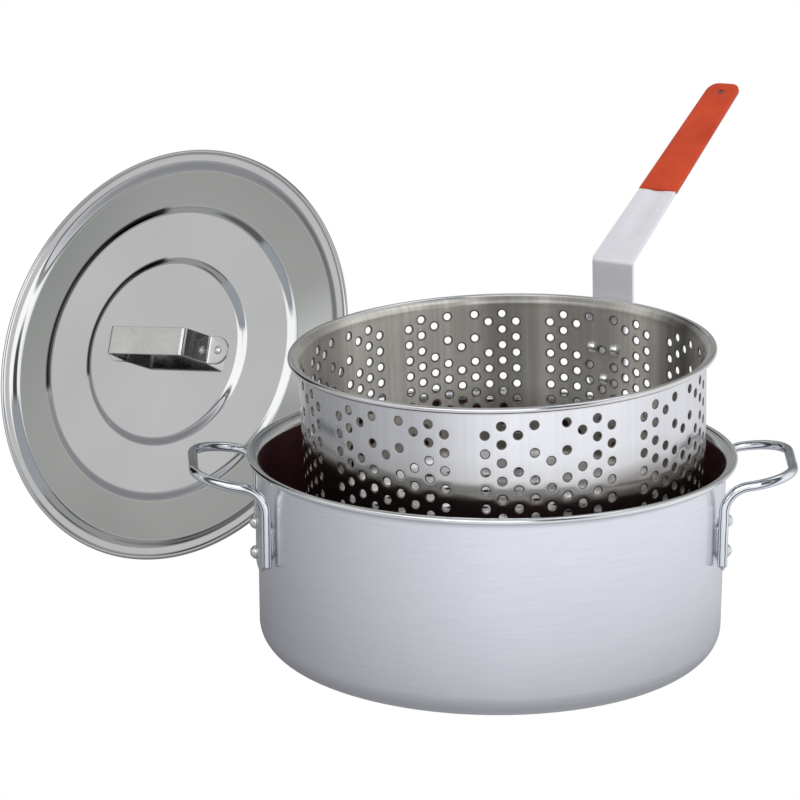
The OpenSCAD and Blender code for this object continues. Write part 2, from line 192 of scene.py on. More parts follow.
def rounded_path(points, radius, steps):
    """A 2-D path with its corners rounded: list of (x, z, tangent angle)."""
    out = []
    for i, p in enumerate(points):
        if i in (0, len(points) - 1):
            q = points[1] if i == 0 else points[-2]
            d = (q[0] - p[0], q[1] - p[1]) if i == 0 else (p[0] - q[0], p[1] - q[1])
            out.append((p[0], p[1], math.atan2(d[1], d[0])))
            continue
        a, c = points[i - 1], points[i + 1]
        u = np.array([p[0] - a[0], p[1] - a[1]], float)
        w = np.array([c[0] - p[0], c[1] - p[1]], float)
        u /= np.linalg.norm(u)
        w /= np.linalg.norm(w)
        s = 1 if u[0] * w[1] - u[1] * w[0] > 0 else -1
        ang = math.acos(float(np.clip(u @ w, -1, 1)))
        mid = np.array(p) - u * radius * math.tan(ang / 2) + np.array([-u[1], u[0]]) * radius * s
        t0 = math.atan2(u[1], u[0])
        for k in range(steps + 1):
            t = t0 + s * ang * k / steps
            nrm = np.array([-math.sin(t), math.cos(t)])
            q = mid - nrm * radius * s
            out.append((float(q[0]), float(q[1]), t))
    return out


# ---------------------------------------------------------------- materials
def nodes_of(name):
    m = bpy.data.materials.new(name)
    m.use_nodes = True
    nt = m.node_tree
    return m, nt, nt.nodes["Principled BSDF"]


def add(nt, kind, **props):
    n = nt.nodes.new(kind)
    for k, v in props.items():
        setattr(n, k, v)
    return n


def link(nt, a, b):
    nt.links.new(a, b)


def math_node(nt, op, a, b=None):
    n = add(nt, "ShaderNodeMath", operation=op)
    for i, v in enumerate((a, b)):
        if v is None:
            continue
        if isinstance(v, (int, float)):
            n.inputs[i].default_value = v
        else:
            link(nt, v, n.inputs[i])
    return n.outputs[0]


def mul(nt, a, b):
    return math_node(nt, "MULTIPLY", a, b)


def plus(nt, a, b):
    return math_node(nt, "ADD", a, b)


def minus(nt, a, b):
    return math_node(nt, "SUBTRACT", a, b)


def vec_node(nt, op, a, b):
    n = add(nt, "ShaderNodeVectorMath", operation=op)
    for i, v in enumerate((a, b)):
        if isinstance(v, (tuple, list)):
            n.inputs[i].default_value = v
        else:
            link(nt, v, n.inputs[i])
    return n.outputs[0]


def scaled(nt, color, fac):
    n = add(nt, "ShaderNodeVectorMath", operation="SCALE")
    if isinstance(color, tuple):
        n.inputs[0].default_value = color
    else:
        link(nt, color, n.inputs[0])
    link(nt, fac, n.inputs["Scale"])
    return n.outputs[0]


def own_place(nt):
    """A piece's points in its own frame, in metres."""
    return add(nt, "ShaderNodeAttribute", attribute_name="own").outputs["Vector"]


def polar(nt):
    """Angle, radius and height in the piece's own frame, and the point itself."""
    own = own_place(nt)
    sep = add(nt, "ShaderNodeSeparateXYZ")
    link(nt, own, sep.inputs[0])
    x, y, z = sep.outputs
    ang = math_node(nt, "ARCTAN2", y, x)
    r = math_node(nt, "SQRT", plus(nt, mul(nt, x, x), mul(nt, y, y)))
    return ang, r, z, own


def noise(nt, vec, scale, detail, rough):
    n = add(nt, "ShaderNodeTexNoise")
    n.inputs["Scale"].default_value = scale
    n.inputs["Detail"].default_value = detail
    n.inputs["Roughness"].default_value = rough
    link(nt, vec, n.inputs["Vector"])
    return n.outputs["Fac"]


def ramp(nt, fac, stops):
    n = add(nt, "ShaderNodeValToRGB")
    el = n.color_ramp.elements
    while len(el) < len(stops):
        el.new(0.5)
    for e, (p, c) in zip(el, stops):
        e.position = p
        e.color = (*c, 1)
    link(nt, fac, n.inputs[0])
    return n.outputs["Color"]


def span(nt, fac, lo, hi):
    n = add(nt, "ShaderNodeMapRange")
    n.inputs["To Min"].default_value = lo
    n.inputs["To Max"].default_value = hi
    link(nt, fac, n.inputs["Value"])
    return n.outputs["Result"]


def combine(nt, x, y, z):
    n = add(nt, "ShaderNodeCombineXYZ")
    for i, v in enumerate((x, y, z)):
        if isinstance(v, (int, float)):
            n.inputs[i].default_value = v
        else:
            link(nt, v, n.inputs[i])
    return n.outputs[0]


def bump(nt, height, strength, distance):
    n = add(nt, "ShaderNodeBump")
    n.inputs["Strength"].default_value = strength
    n.inputs["Distance"].default_value = distance
    link(nt, height, n.inputs["Height"])
    return n.outputs["Normal"]


def metal(name, dark, light, rough, k_ang, k_r, k_z, relief, blotch, blotch_mix=0.5, aniso=0.0,
          metallic=1.0):
    """Brushed or spun metal. k_ang, k_r and k_z crowd its fine scratches by angle, radius and
    height, and blotch is the scale of its broad stains."""
    m, nt, bsdf = nodes_of(name)
    ang, r, z, obj = polar(nt)
    vec = combine(nt, mul(nt, ang, k_ang), mul(nt, r, k_r), mul(nt, z, k_z))
    fine = noise(nt, vec, 1.0, 3.0, 0.65)
    wide = noise(nt, obj, blotch, 3.0, 0.55)
    mix = plus(nt, mul(nt, fine, 1 - blotch_mix), mul(nt, wide, blotch_mix))
    link(nt, ramp(nt, mix, [(0.30, dark), (0.70, light)]), bsdf.inputs["Base Color"])
    link(nt, span(nt, mix, rough[0], rough[1]), bsdf.inputs["Roughness"])
    link(nt, bump(nt, fine, relief, 0.0002), bsdf.inputs["Normal"])
    bsdf.inputs["Metallic"].default_value = metallic
    if aniso:
        bsdf.inputs["Anisotropic"].default_value = aniso
        tan = add(nt, "ShaderNodeTangent", direction_type="RADIAL", axis="Z")
        link(nt, tan.outputs[0], bsdf.inputs["Tangent"])
    return m


POT_OUT = metal("pot_satin_aluminium", (0.80, 0.815, 0.84), (0.885, 0.895, 0.915), (0.20, 0.27),
                6, 700, 700, relief=0.015, blotch=9, aniso=0.3)
POT_RIM = metal("pot_rim_aluminium", (0.74, 0.745, 0.75), (0.88, 0.88, 0.875), (0.13, 0.22),
                5, 700, 700, relief=0.04, blotch=20)
# the inside's dark maroon colour is a painted reflection of a dark room, not the metal's own colour
POT_IN = metal("pot_inside_painted_dark_reflection", (0.058, 0.013, 0.018), (0.120, 0.040, 0.046), (0.42, 0.6),
               5, 400, 400, relief=0.08, blotch=22, blotch_mix=0.7, metallic=0.3)
BASKET_LIP = metal("basket_lip_aluminium", (0.68, 0.67, 0.655), (0.90, 0.89, 0.875), (0.10, 0.20),
                   9, 500, 500, relief=0.02, blotch=20)
# the holes' bores and inner bevels are coloured dark: painted shade round each hole
BASKET_BORE_SHADE = metal("basket_hole_edge_painted_shade", (0.17, 0.155, 0.14), (0.28, 0.26, 0.24), (0.25, 0.4),
                    20, 300, 300, relief=0.02, blotch=60)


def plated_wire():
    """Bright plating with painted reflections: dark lines beside the middle and dark edges are painted
    by the facing angle, as a thin round wire mirrors the whole room."""
    m, nt, bsdf = nodes_of("bright_plated_wire_painted_reflections")
    turned = add(nt, "ShaderNodeLayerWeight")
    turned.inputs["Blend"].default_value = 0.5
    wide = noise(nt, own_place(nt), 70, 1.0, 0.5)
    where = plus(nt, turned.outputs["Facing"], mul(nt, minus(nt, wide, 0.5), 0.22))
    # painted reflection: tone by facing angle
    tone = ramp(nt, where, [
        (0.0, (0.95, 0.96, 0.97)), (0.10, (0.93, 0.94, 0.96)), (0.16, (0.13, 0.14, 0.15)),
        (0.22, (0.10, 0.11, 0.12)), (0.28, (0.90, 0.92, 0.95)), (0.52, (0.86, 0.89, 0.93)),
        (0.70, (0.52, 0.55, 0.58)), (0.86, (0.16, 0.17, 0.18))])
    link(nt, tone, bsdf.inputs["Base Color"])
    bsdf.inputs["Roughness"].default_value = 0.05
    bsdf.inputs["Metallic"].default_value = 1.0
    return m


WIRE = plated_wire()
PLATE_METAL = metal("plate_satin_aluminium", (0.62, 0.64, 0.66), (0.80, 0.81, 0.82), (0.24, 0.38),
                    5, 300, 900, relief=0.08, blotch=40)
RIVET = metal("rivet_aluminium", (0.72, 0.72, 0.71), (0.90, 0.90, 0.89), (0.13, 0.28),
              8, 600, 600, relief=0.10, blotch=220)
STRAP_METAL = metal("strap_satin_aluminium", (0.78, 0.765, 0.80), (0.88, 0.87, 0.90), (0.36, 0.48),
                    3, 40, 40, relief=0.03, blotch=30, metallic=0.45)
LID_STRAP = metal("lid_handle_steel", (0.50, 0.50, 0.485), (0.66, 0.66, 0.64), (0.12, 0.24),
                  4, 60, 500, relief=0.05, blotch=40)


def basket_wall(name, painted_light_turns, painted_light_depths, dark, light, rough, streaks, metallic, dent):
    """Drawn and wiped aluminium, with painted light and shade. turns and depths are (position, tone)
    stops that paint reflections and shade: the position is the angle from the handle in degrees, or the
    height above the basket's underside in mm."""
    m, nt, bsdf = nodes_of(name)
    ang, _, z, obj = polar(nt)
    wave = noise(nt, obj, 16, 2.0, 0.5)
    bend = mul(nt, minus(nt, wave, 0.5), 0.10)
    around = plus(nt, mul(nt, ang, 0.5 / math.pi), 0.5)
    around = plus(nt, around, mul(nt, bend, streaks))
    level = plus(nt, mul(nt, z, 1 / (DEPTH * MM)), mul(nt, bend, 1.2))
    # painted light and shade: tone by angle times tone by height
    tone = vec_node(nt, "MULTIPLY",
                    ramp(nt, around, [(a / 360 + 0.5, (t, t, t)) for a, t in painted_light_turns]),
                    ramp(nt, level, [(d / DEPTH, c) for d, c in painted_light_depths]))
    streak = combine(nt, mul(nt, ang, 26), 0.0, mul(nt, z, 2.5))
    lines = noise(nt, streak, 1.0, 3.0, 0.7)
    tone = vec_node(nt, "MULTIPLY", tone, ramp(nt, lines, [(0.30, dark), (0.70, light)]))
    link(nt, tone, bsdf.inputs["Base Color"])
    link(nt, span(nt, wave, rough[0], rough[1]), bsdf.inputs["Roughness"])
    broad = combine(nt, mul(nt, ang, 1.6), 0.0, mul(nt, z, 22))
    swell = noise(nt, broad, 1.0, 0.0, 0.5)
    link(nt, bump(nt, swell, dent, 0.004), bsdf.inputs["Normal"])
    bsdf.inputs["Metallic"].default_value = metallic
    return m


# painted reflections: tone by angle paints the room's bright and dark reflections, and the wall is
# painted darker towards the bottom, where it mirrors the dark inside of the pot
BASKET_OUT = basket_wall(
    "basket_outside_painted_reflections",
    [(-180, 0.76), (-170, 0.72), (-156, 0.92), (-144, 1.0), (-118, 0.95), (-100, 0.80),
     (-60, 0.85), (0, 1), (120, 0.95), (150, 0.66), (180, 0.76)],
    [(0, (0.30, 0.27, 0.245)), (66, (0.40, 0.375, 0.35)), (76, (0.86, 0.85, 0.83)),
     (90, (0.98, 0.98, 0.98)), (121, (0.98, 0.98, 0.98))],
    (0.91, 0.91, 0.90), (0.985, 0.985, 0.98), (0.10, 0.20), 0.2, 0.98, 0.22)
# painted light and shade: tone by angle paints bright and dark reflections, the lower wall is painted
# darker as shade, the floor lighter than it, and the top of the lip darker
BASKET_IN = basket_wall(
    "basket_inside_painted_shade",
    [(-180, 0.7), (-70, 0.7), (-50, 0.55), (-36, 0.16), (-26, 0.34), (-13, 1.0), (-4, 0.66), (3, 0.52),
     (12, 0.52), (20, 0.70), (28, 0.42), (36, 0.46), (42, 0.74), (50, 0.86), (64, 0.95),
     (76, 0.95), (84, 1.0), (93, 0.62), (104, 0.44), (118, 0.65), (180, 0.7)],
    [(0, (1.0, 1.0, 1.0)), (3, (1.0, 1.0, 1.0)), (9, (0.30, 0.27, 0.24)), (34, (0.48, 0.45, 0.42)),
     (58, (0.98, 0.95, 0.90)), (112, (0.98, 0.945, 0.89)), (117, (0.78, 0.75, 0.70)),
     (121, (0.78, 0.75, 0.70))],
    (0.74, 0.72, 0.70), (1.0, 1.0, 0.99), (0.20, 0.36), 0.06, 0.50, 0.05)


def lid_metal():
    """Polished steel with painted reflections. The sloping outer zone is painted a darker tone, and the
    far flanks of the two steps are painted dark, as a sharply bent edge mirrors the room behind."""
    m, nt, bsdf = nodes_of("lid_polished_steel_painted_reflections")
    ang, r, _, obj = polar(nt)
    spun = combine(nt, mul(nt, ang, 4), mul(nt, r, 500), 0.0)
    fine = noise(nt, spun, 1.0, 2.0, 0.6)
    wide = noise(nt, obj, 9, 2.0, 0.5)
    # painted reflection: the sloping outer zone is painted a darker tone
    zone = ramp(nt, mul(nt, r, 5.0), [
        (0.0, (1, 1, 1)), (0.560, (0.98, 0.98, 0.98)), (0.574, (0.66, 0.675, 0.655)),
        (0.708, (0.64, 0.655, 0.635)), (0.722, (1, 1, 1)), (1.0, (1, 1, 1))])
    # painted reflection: dark arcs on the far flanks of the two steps
    far = ramp(nt, plus(nt, mul(nt, ang, 0.5 / math.pi), 0.5), [
        (0.0, (1, 1, 1)), (0.058, (1, 1, 1)), (0.066, (0, 0, 0)), (0.788, (0, 0, 0)), (0.800, (1, 1, 1)),
        (1.0, (1, 1, 1))])
    flank = ramp(nt, mul(nt, r, 5.0), [
        (0.0, (0, 0, 0)), (0.343, (0, 0, 0)), (0.348, (1, 1, 1)), (0.366, (1, 1, 1)), (0.370, (0, 0, 0)),
        (0.543, (0, 0, 0)), (0.548, (1, 1, 1)), (0.572, (1, 1, 1)), (0.577, (0, 0, 0))])
    dark = mul(nt, far, flank)
    tone = ramp(nt, wide, [(0.3, (0.56, 0.56, 0.555)), (0.7, (0.61, 0.61, 0.605))])
    tone = vec_node(nt, "MULTIPLY", zone, tone)
    tone = scaled(nt, tone, minus(nt, 1.0, mul(nt, dark, 0.955)))
    link(nt, tone, bsdf.inputs["Base Color"])
    link(nt, span(nt, fine, 0.035, 0.075), bsdf.inputs["Roughness"])
    bsdf.inputs["Metallic"].default_value = 1.0
    return m


LID_M = lid_metal()
# the underside is a lighter copy of the lid's steel: painted light
LID_BACK = metal("lid_back_steel_painted_lighter", (0.80, 0.80, 0.79), (0.93, 0.93, 0.92), (0.12, 0.22),
                 4, 500, 0, relief=0.03, blotch=9, metallic=0.85)


def vinyl():
    m, nt, bsdf = nodes_of("dipped_vinyl_orange")
    own = own_place(nt)
    wide = noise(nt, own, 35, 3, 0.5)
    fine = noise(nt, own, 900, 2, 0.6)
    link(nt, ramp(nt, wide, [(0.30, (0.42, 0.036, 0.007)), (0.72, (0.54, 0.058, 0.014))]),
         bsdf.inputs["Base Color"])
    link(nt, span(nt, wide, 0.26, 0.40), bsdf.inputs["Roughness"])
    bsdf.inputs["Specular IOR Level"].default_value = 0.3
    h = plus(nt, mul(nt, wide, 0.7), mul(nt, fine, 0.12))
    link(nt, bump(nt, h, 0.25, 0.0004), bsdf.inputs["Normal"])
    bsdf.inputs["Coat Weight"].default_value = 0.10
    bsdf.inputs["Coat Roughness"].default_value = 0.25
    return m


GRIP = vinyl()


# ---------------------------------------------------------------- pot
def rim_points(ri, t, flare, bead, outer, top):
    """Outside up over the bead and down the inside of a flared, beaded rim."""
    zc = top - bead - flare + t / 2
    cx, bx, bz = ri + flare, outer - bead, top - bead
    below = math.degrees(math.asin(min(1, (t / 2) / bead)))
    out = arc(cx, zc, flare - t, 180, 100, 10)
    ring = arc(bx, bz, bead, 180 + below + 8, 540 - below - 8, 26)
    inner = arc(cx, zc, flare, 96, 180, 14)
    return out + ring + inner


POT_R, POT_WALL, POT_FLOOR, POT_CORNER = 152.4, 2.0, 2.2, 15.5
RIM_R, POT_TOP = 159.4, 129.6


def pot():
    ro, t, fl, c = POT_R, POT_WALL, POT_FLOOR, POT_CORNER
    out = [(0, 0)] + supported([(60, 0), (ro - c, 0)]) + arc(ro - c, c, c, -90, 0, 16)[1:]
    out = supported(out, 0.8, 12)
    rim = rim_points(ro - t, t, 7.0, 2.1, RIM_R, POT_TOP)
    rise = supported([out[-1], rim[0]], 0.8, 12)[1:-1]
    drop = supported([rim[-1], (ro - t, c)], 0.8, 12)[1:]
    bottom = arc(ro - c, c, c - t, 0, -90, 14)[1:]
    floor = supported([(ro - c, fl), (0, fl)], 0.8, 12)[1:]
    floor[0] = (ro - c - 0.8, fl)
    prof = out + rise + rim + drop + bottom + floor
    n_out = len(out) + len(rise)
    n_rim = n_out + len(rim)
    v, f, part = lathe(prof, 320)
    idx = [0 if k < n_out + 9 else (1 if k < n_rim - 3 else 2) for k in part]
    piece("pot", v, f, POT, "pot", ["pot_body"], [POT_OUT, POT_RIM, POT_IN], idx)


pot()


# ---------------------------------------------------------------- pot handles
WIRE_R = 3.15
PLATE = 1.5  # thickness of the mounting plate
REACH = 193.4  # of the loop's middle, from the pot's axis


def loop_path():
    """Two legs up the wall, bent outward and joined by a rounded bar: turn is the bend's angle,
    rb its radius and rc the radius of the loop's corners."""
    half, low, top = 47.2, 68.2, 118.4
    leg_r = POT_R + PLATE + WIRE_R - 0.1
    x0 = math.sqrt(leg_r ** 2 - half ** 2)
    turn, rb, rc = 80, 18.0, 29.0
    rise = math.radians(90 - turn)
    tan = rb * math.tan(math.radians(turn / 2))
    end = (REACH - x0) / math.cos(rise)
    side = [(x0, half, low), (x0, half, low + 2), (x0, half, low + 4), (x0, half, top - tan - 1.5)]
    for i in range(17):
        a = math.radians(180 - turn * i / 16)
        side.append((x0 + rb + rb * math.cos(a), half, top - tan + rb * math.sin(a)))

    def arm(x, y):
        return (x0 + x * math.cos(rise), y, top + x * math.sin(rise))

    for i in range(21):
        a = math.radians(90 - 90 * i / 20)
        side.append(arm(end - rc + rc * math.cos(a), half - rc + rc * math.sin(a)))
    side.append(arm(end, half - rc - 1.5))
    return side + [(x, -y, z) for x, y, z in side[::-1]]


def dome(r, h, n=9):
    """Profile of a domed rivet head with a small flat brim, from the pole down."""
    ball = (r * r + h * h) / (2 * h)
    steps = [math.asin(r / ball) * i / n for i in range(1, n + 1)]
    return [(0, h)] + [(ball * math.sin(a), h - ball + ball * math.cos(a)) for a in steps]


def rivet(head_r, head_h, tail_r, tail_h, reach):
    """Head above z = 0, shank down to -reach, flat tail below it."""
    prof = [(x, z + 0.35) for x, z in dome(head_r, head_h)]
    prof += [(head_r + 0.02, 0.22), (head_r, 0.06), (head_r - 0.1, 0)]
    prof += [(2.6, -0.02), (2.5, -0.05), (2.5, -reach + 0.02), (tail_r - 0.3, -reach),
             (tail_r, -reach - 0.25), (tail_r, -reach - tail_h + 0.35),
             (tail_r - 0.4, -reach - tail_h), (0, -reach - tail_h)]
    v, f, _ = lathe(prof[::-1], 40)
    return v, f


def rivets(name, places, size, at, body, node):
    v, f = rivet(*size)
    v, f = joined([(placed(v, m), f) for m in places])
    piece(name, v, f, at, body, [node], [RIVET])


def plate_side():
    """The plate's right-hand outline from its foot to its top: (y, z, outward normal)."""
    low, high, half, foot, r = 56.0, 97.0, 46.0, 20.0, 8.0
    corner = rounded_path([(0, low), (foot, low), (half, low + 18), (half, high), (0, high)], r, 6)
    pts = [(y, z, math.sin(t), -math.cos(t)) for y, z, t in corner[1:-1]]
    out = []
    for a, b in zip(pts, pts[1:]):
        n = max(1, int(math.dist(a[:2], b[:2]) / 3.0))
        out += [tuple(a[k] + (b[k] - a[k]) * i / n for k in range(4)) for i in range(n)]
    return out + [pts[-1]]


def handle_plate(name, at, node):
    rin, rout, across = POT_R + 0.05, POT_R + PLATE, 60
    side = plate_side()

    def surface(inset, r):
        rows = []
        for y, z, ny, nz in side:
            y, z = y - inset * ny, z - inset * nz
            ys = [-y + 2 * y * k / across for k in range(across + 1)]
            rows.append([(math.sqrt(r * r - q * q), q, z) for q in ys])
        return rows

    verts, ids = [], []
    for rows in (surface(0.0, rin), surface(0.0, rout - 0.45), surface(0.14, rout - 0.14),
                 surface(0.5, rout)):
        g = []
        for row in rows:
            g.append(list(range(len(verts), len(verts) + across + 1)))
            verts += row
        ids.append(g)
    faces = []
    n = len(side) - 1
    for g, flip in ((ids[0], True), (ids[3], False)):
        for i in range(n):
            for k in range(across):
                q = (g[i][k], g[i][k + 1], g[i + 1][k + 1], g[i + 1][k])
                faces.append(q[::-1] if flip else q)

    def loop(g):
        return (g[0][:-1] + [g[i][across] for i in range(n)] + g[n][:0:-1]
                + [g[i][0] for i in range(n, 0, -1)])

    for p, q in zip(ids, ids[1:]):
        la, lb = loop(p), loop(q)
        for i in range(len(la)):
            j = (i + 1) % len(la)
            faces.append((la[i], la[j], lb[j], lb[i]))
    piece(name, verts, faces, at, "pot", [node], [PLATE_METAL])


for word, at in (("left", LEFT), ("right", RIGHT)):
    v, f = tube(loop_path(), WIRE_R)
    piece(word + "_wire_handle", v, f, at, "pot", [word + "_handle_loop"], [WIRE])
    handle_plate(word + "_mounting_plate", at, word + "_handle_plate")
    spots = [move(POT_R + PLATE + 0.02, 0, z) @ rot("Y", 90) for z in (63.3, 83.8)]
    rivets(word + "_rivets", spots, (4.6, 3.8, 4.3, 1.2, 3.6), at, "pot", word + "_handle_rivets")


# ---------------------------------------------------------------- basket
RB, TB = 131.0, 1.2  # radius outside and wall
HOLE = 2.9  # radius
ROW0, ROW = 13.0, 11.4  # depth of the first row of holes, and from row to row
TOP_ROW, LOW_ROW = -0.5, 8.5  # where the grid of holes begins and ends
PANELS_ROUND, COLUMNS, STEP = 8, 9, 4.286  # groups of columns, columns in each, degrees apart
SPAN = 360 / PANELS_ROUND
FIRST = 12.6  # middle of the first group, in the pot's frame
SUB, GAP_SUB = 8, 12  # quads across a hole's cell, and across the gap between groups
RIVET_OUT, RIVET_HIGH, RIVET_LOW = 8.9, 34.2, 56.6


def column_holes(c):
    """Rows where column c of a group has holes. Even columns sit half a row lower, and the middle
    ones have fewer holes near the top."""
    full = [(0.5 if c % 2 == 0 else 0) + k for k in range(9)]
    full = [r for r in full if r <= 8]
    if c in (2, 6):
        return [r for r in full if r != 1.5]
    if c in (3, 5):
        return [r for r in full if r == 0 or r > 2.75] + [1.5]
    if c == 4:
        return [r for r in full if r > 2.75] + [2.0]
    return full


def near_rivet(a, d):
    """True where a hole at angle a from the handle and depth d would meet the strap's rivets."""
    x = RB * math.radians(a)
    spots = ((-RIVET_OUT, RIVET_HIGH), (RIVET_OUT, RIVET_HIGH), (0, RIVET_LOW))
    return min(math.hypot(x - u, d - w) for u, w in spots) < 7.6


def square_and_circle(steps):
    """Points round a unit square, with steps a side, and unit vectors at even turns that match."""
    edge = [(-0.5 + i / steps, -0.5) for i in range(steps)]
    edge += [(0.5, -0.5 + i / steps) for i in range(steps)]
    edge += [(0.5 - i / steps, 0.5) for i in range(steps)]
    edge += [(-0.5, 0.5 - i / steps) for i in range(steps)]
    dirs = []
    for x, y in edge:
        # each side of the square covers a quarter of the circle
        if abs(x) >= abs(y):
            t = (0 if x > 0 else math.pi) + (y / x) * math.pi / 4
        else:
            t = (math.pi / 2 if y > 0 else -math.pi / 2) - (x / y) * math.pi / 4
        dirs.append((math.cos(t), math.sin(t)))
    return edge, dirs


def basket():
    """Wall as a grid of cells, each with its hole, then the rim above and the floor below."""
    verts, faces, mat = [], [], []
    seen = {}

    def vert(a, d, r):
        """A point at angle a (degrees from the handle), depth d below the rim, radius r."""
        # a quarter step off, because the grid's own angles fall on whole and half steps
        key = (round((a % 360) * 2000 + 0.25) % 720000, round(d * 2000), round(r * 2000))
        if key not in seen:
            seen[key] = len(verts)
            t = math.radians(a)
            verts.append((r * math.cos(t), r * math.sin(t), DEPTH - d))
        return seen[key]

    def quad(q, outside):
        faces.append(q if outside else q[::-1])
        mat.append(0 if outside else 1)

    def depth(row):
        return ROW0 + row * ROW

    # a hole's cell: points round the square, and the directions of the same points on the circle
    edge, dirs = square_and_circle(SUB)
    per_deg = math.radians(1) * RB
    bevel = ((HOLE + 0.70, 0), (HOLE + 0.25, 0.035), (HOLE - 0.1, 0.14), (HOLE - 0.32, 0.34),
             (HOLE - 0.40, 0.56))
    n = len(edge)
    for p in range(PANELS_ROUND):
        base = FIRST + SPAN * p - HANDLE
        cols = [(c, base + (c - COLUMNS / 2) * STEP, STEP) for c in range(COLUMNS)]
        cols.append((None, base + COLUMNS / 2 * STEP, SPAN - COLUMNS * STEP))
        for c, a0, wide in cols:
            mid = a0 + wide / 2
            holes = []
            if c is not None:
                turn = (mid + 180) % 360 - 180
                holes = [r for r in column_holes(c) if not near_rivet(turn, depth(r))]
            n_a = SUB if c is not None else GAP_SUB
            n_r = int((LOW_ROW - TOP_ROW) * SUB)
            taken = set()
            for r in holes:
                k0 = int(round((r - 0.5 - TOP_ROW) * SUB))
                taken.update(range(k0, k0 + SUB))
            for k in range(n_r):
                if k in taken:
                    continue
                d0, d1 = depth(TOP_ROW + k / SUB), depth(TOP_ROW + (k + 1) / SUB)
                for i in range(n_a):
                    x0, x1 = a0 + wide * i / n_a, a0 + wide * (i + 1) / n_a
                    for rad, outside in ((RB, True), (RB - TB, False)):
                        corners = ((x0, d1), (x1, d1), (x1, d0), (x0, d0))
                        quad(tuple(vert(x, d, rad) for x, d in corners), outside)
            for r in holes:
                d_mid = depth(r)
                rings = [[(mid + cx * rad_h / per_deg, d_mid - cy * rad_h, drop) for cx, cy in dirs]
                         for rad_h, drop in bevel]
                prev_o = [vert(mid + x * wide, d_mid - y * ROW, RB) for x, y in edge]
                prev_i = [vert(mid + x * wide, d_mid - y * ROW, RB - TB) for x, y in edge]
                for step, ring_pts in enumerate(rings):
                    cur_o = [vert(a, d, RB - q) for a, d, q in ring_pts]
                    cur_i = [vert(a, d, RB - TB + q) for a, d, q in ring_pts]
                    for i in range(n):
                        j = (i + 1) % n
                        quad((prev_o[i], prev_o[j], cur_o[j], cur_o[i]), True)
                        quad((prev_i[i], prev_i[j], cur_i[j], cur_i[i]), False)
                        # the inner bevel rings and the bore take the dark material: painted shade round
                        # the hole
                        if step >= 1:
                            mat[-1] = 3
                        if step >= 2:
                            mat[-2] = 3
                    prev_o, prev_i = cur_o, cur_i
                for i in range(n):
                    j = (i + 1) % n
                    quad((prev_o[i], prev_o[j], prev_i[j], prev_i[i]), True)
                    mat[-1] = 3
    # angles used by the wall's top and bottom edges, in order
    angles = []
    wide = SPAN - COLUMNS * STEP
    for p in range(PANELS_ROUND):
        base = FIRST + SPAN * p - HANDLE
        angles += [base - COLUMNS / 2 * STEP + STEP * i / SUB for i in range(COLUMNS * SUB)]
        angles += [base + COLUMNS / 2 * STEP + wide * i / GAP_SUB for i in range(GAP_SUB)]
    n = len(angles)

    def rows(profile, part):
        """Bands along a profile that runs up the outside and down the inside."""
        ids = [[vert(a, d, r) for a in angles] for r, d in profile]
        for a, b in zip(ids, ids[1:]):
            for i in range(n):
                j = (i + 1) % n
                quad((a[i], a[j], b[j], b[i]), True)
                mat[-1] = part
        return ids

    top_d, low_d = depth(TOP_ROW), depth(LOW_ROW)
    rim = rim_points(RB - TB, TB, 5.0, 1.9, 137.7, DEPTH)
    rim = [(r, DEPTH - z) for r, z in rim]
    split = 24
    rows([(RB, top_d), (RB, top_d - 0.35)] + rim[:4], 0)
    rows(rim[3:split + 15], 2)
    rows(rim[split + 14:] + [(RB - TB, top_d - 0.35), (RB - TB, top_d)], 1)
    corner = DEPTH - low_d
    outer = [(r, DEPTH - z) for r, z in arc(RB - corner, corner, corner, 0, -90, 12)]
    inner = [(r, DEPTH - z) for r, z in arc(RB - corner, corner, corner - TB, 0, -90, 12)]
    ids_o = rows(outer[::-1], 0)
    ids_i = rows(inner, 1)
    # floor: a flat disc with rings of holes, cut from one triangulation and used on both faces
    edge_r = RB - corner
    pts, edges, hole_loops = [], [], []
    for a in angles:
        t = math.radians(a)
        pts.append(Vector((edge_r * math.cos(t), edge_r * math.sin(t))))
    edges += [(i, (i + 1) % n) for i in range(n)]
    centres = [(0.0, 0.0)]
    for k in range(1, 8):
        for i in range(6 * k):
            t = math.radians(i * 60 / k + (k % 2) * 15 / k)
            centres.append((k * 15.5 * math.cos(t), k * 15.5 * math.sin(t)))
    m = 24
    for cx, cy in centres:
        first = len(pts)
        for i in range(m):
            t = 2 * math.pi * i / m
            pts.append(Vector((cx + HOLE * math.cos(t), cy + HOLE * math.sin(t))))
        edges += [(first + i, first + (i + 1) % m) for i in range(m)]
        hole_loops.append(list(range(first, first + m)))
    co, _, tri, src, _, _ = delaunay_2d_cdt(pts, edges, [], 0, 1e-6)
    back = {o: new for new, olds in enumerate(src) for o in olds}
    xy = [(c.x, c.y) for c in co]
    cen = np.array(centres)
    keep = []
    for f in tri:
        mx = sum(xy[i][0] for i in f) / len(f)
        my = sum(xy[i][1] for i in f) / len(f)
        if math.hypot(mx, my) > edge_r + 1e-6:
            continue
        if np.hypot(cen[:, 0] - mx, cen[:, 1] - my).min() < HOLE * 0.985:
            continue
        keep.append(tuple(f))
    low_ids, high_ids = [], []
    rim_of = {back[i]: i for i in range(n)}
    for i, (x, y) in enumerate(xy):
        if i in rim_of:
            low_ids.append(ids_o[0][rim_of[i]])
            high_ids.append(ids_i[-1][rim_of[i]])
        else:
            low_ids.append(len(verts))
            verts.append((x, y, 0))
            high_ids.append(len(verts))
            verts.append((x, y, TB))
    for f in keep:
        faces.append(tuple(low_ids[i] for i in f)[::-1])
        mat.append(0)
        faces.append(tuple(high_ids[i] for i in f))
        mat.append(1)
    for lp in hole_loops:
        for i in range(m):
            a, b = back[lp[i]], back[lp[(i + 1) % m]]
